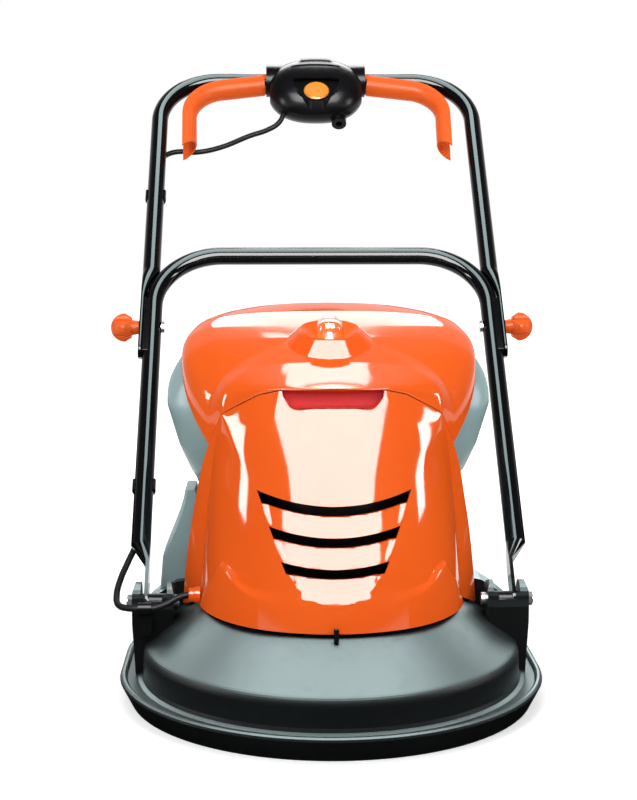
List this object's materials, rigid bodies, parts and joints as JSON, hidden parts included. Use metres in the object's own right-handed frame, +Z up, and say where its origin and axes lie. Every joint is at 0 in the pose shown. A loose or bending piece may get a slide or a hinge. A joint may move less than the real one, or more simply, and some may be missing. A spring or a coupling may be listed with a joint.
{
  "type": "hover mower",
  "caption": "Electric hover lawn mower with orange cowl and lidded grass box on a charcoal hood, and a folding tube handle with a switch box and squeeze levers.",
  "frame": {"origin": "on the ground under the blade spindle", "axes": "+X to the right as seen from the front, +Y to the rear where the operator walks, +Z up"},
  "size_m": [0.5144, 0.8521, 0.7071],
  "materials": {
    "charcoal_plastic": "satin",
    "orange_plastic": "gloss",
    "amber_plastic": "satin",
    "pale_plastic": "satin",
    "black_plastic": "satin",
    "black_tube": "gloss",
    "bright_steel": "satin",
    "core_iron": "matte",
    "brass": "satin",
    "carbon": "matte",
    "clear_dome": "clear",
    "white_plastic": "gloss",
    "cable_rubber": "satin"
  },
  "bodies": {
    "chassis": {"deck": "charcoal_plastic", "rear_housing": "charcoal_plastic", "motor_cowl": "orange_plastic", "cowl_clip": "black_plastic", "cable_gland": "orange_plastic", "intake_baffle": "black_plastic", "grass_duct": "pale_plastic", "motor_cover": "pale_plastic", "motor_mount": "bright_steel", "motor_can": "bright_steel", "stator": "core_iron", "end_cap": "black_plastic", "brushes": "carbon", "upper_bearing": "bright_steel", "lower_bearing": "bright_steel", "motor_screws": "bright_steel", "terminal_block": "black_plastic", "pivot_bolts": "bright_steel", "pivot_nuts": "bright_steel", "pivot_bushes": "black_plastic", "bracket_clip": "black_plastic", "cable_loop": "cable_rubber"},
    "rotor": {"motor_shaft": "bright_steel", "armature": "core_iron", "commutator": "brass", "impeller": "black_plastic", "blade_spacer": "black_plastic", "blade": "bright_steel", "blade_bolt": "bright_steel"},
    "grass_box": {"grass_tub": "pale_plastic", "hinge_pins": "bright_steel"},
    "lid": {"box_lid": "orange_plastic", "indicator_dome": "clear_dome"},
    "fill_float": {"indicator_float": "white_plastic"},
    "handle_lower": {"lower_handle": "black_tube", "handle_bolts": "bright_steel", "lower_clip": "black_plastic", "cable_lower": "cable_rubber"},
    "handle_upper": {"upper_handle": "black_tube", "upper_clip": "black_plastic", "switch_front": "black_plastic", "switch_rear": "black_plastic", "pod_screws": "bright_steel", "microswitch": "black_plastic", "button_spring": "bright_steel", "mains_inlet": "black_plastic", "lever_pins": "bright_steel", "lever_springs": "bright_steel", "cable_upper": "cable_rubber", "cable_fold": "cable_rubber"},
    "knob_left": {"left_knob": "orange_plastic"},
    "knob_right": {"right_knob": "orange_plastic"},
    "button": {"start_button": "amber_plastic"},
    "lever_left": {"left_lever": "orange_plastic"},
    "lever_right": {"right_lever": "orange_plastic"}
  },
  "joints": [
    {"name": "rotor_spin", "type": "hinge", "parent": "chassis", "child": "rotor", "pos_m": [0, 0, 0.105], "axis": [0, 0, 1], "continuous": true},
    {"name": "box_lift", "type": "slide", "parent": "chassis", "child": "grass_box", "axis": [0, 0, 1], "range_m": [0, 0.12]},
    {"name": "lid_hinge", "type": "hinge", "parent": "grass_box", "child": "lid", "pos_m": [0, 0.196, 0.386], "axis": [-1, 0, 0], "range_deg": [0, 70]},
    {"name": "float_rise", "type": "slide", "parent": "lid", "child": "fill_float", "axis": [0, 0, 1], "range_m": [0, 0.003]},
    {"name": "handle_tilt", "type": "hinge", "parent": "chassis", "child": "handle_lower", "pos_m": [0, 0.015, 0.095], "axis": [1, 0, 0], "range_deg": [0, 50], "deforming": ["cable_loop"]},
    {"name": "handle_fold", "type": "hinge", "parent": "handle_lower", "child": "handle_upper", "pos_m": [0, 0.28476, 0.36476], "axis": [1, 0, 0], "range_deg": [0, 140], "deforming": ["cable_fold"]},
    {"name": "left_knob_turn", "type": "hinge", "parent": "handle_lower", "child": "knob_left", "pos_m": [-0.24, 0.28476, 0.36476], "axis": [1, 0, 0], "continuous": true},
    {"name": "right_knob_turn", "type": "hinge", "parent": "handle_lower", "child": "knob_right", "pos_m": [0.24, 0.28476, 0.36476], "axis": [1, 0, 0], "continuous": true},
    {"name": "button_press", "type": "slide", "parent": "handle_upper", "child": "button", "axis": [0, 0.7071, -0.7071], "range_m": [0, 0.004], "stiffness_N_per_m": 500, "springref_m": -0.004, "deforming": ["button_spring"]},
    {"name": "left_lever_squeeze", "type": "hinge", "parent": "handle_upper", "child": "lever_left", "pos_m": [-0.046, 0.58634, 0.66634], "axis": [0, 0.7071, -0.7071], "range_deg": [0, 9.5], "stiffness_Nm_per_rad": 2, "springref_deg": -8.59},
    {"name": "right_lever_squeeze", "type": "hinge", "parent": "handle_upper", "child": "lever_right", "pos_m": [0.046, 0.58634, 0.66634], "axis": [0, -0.7071, 0.7071], "range_deg": [0, 9.5], "stiffness_Nm_per_rad": 2, "springref_deg": -8.59}
  ]
}
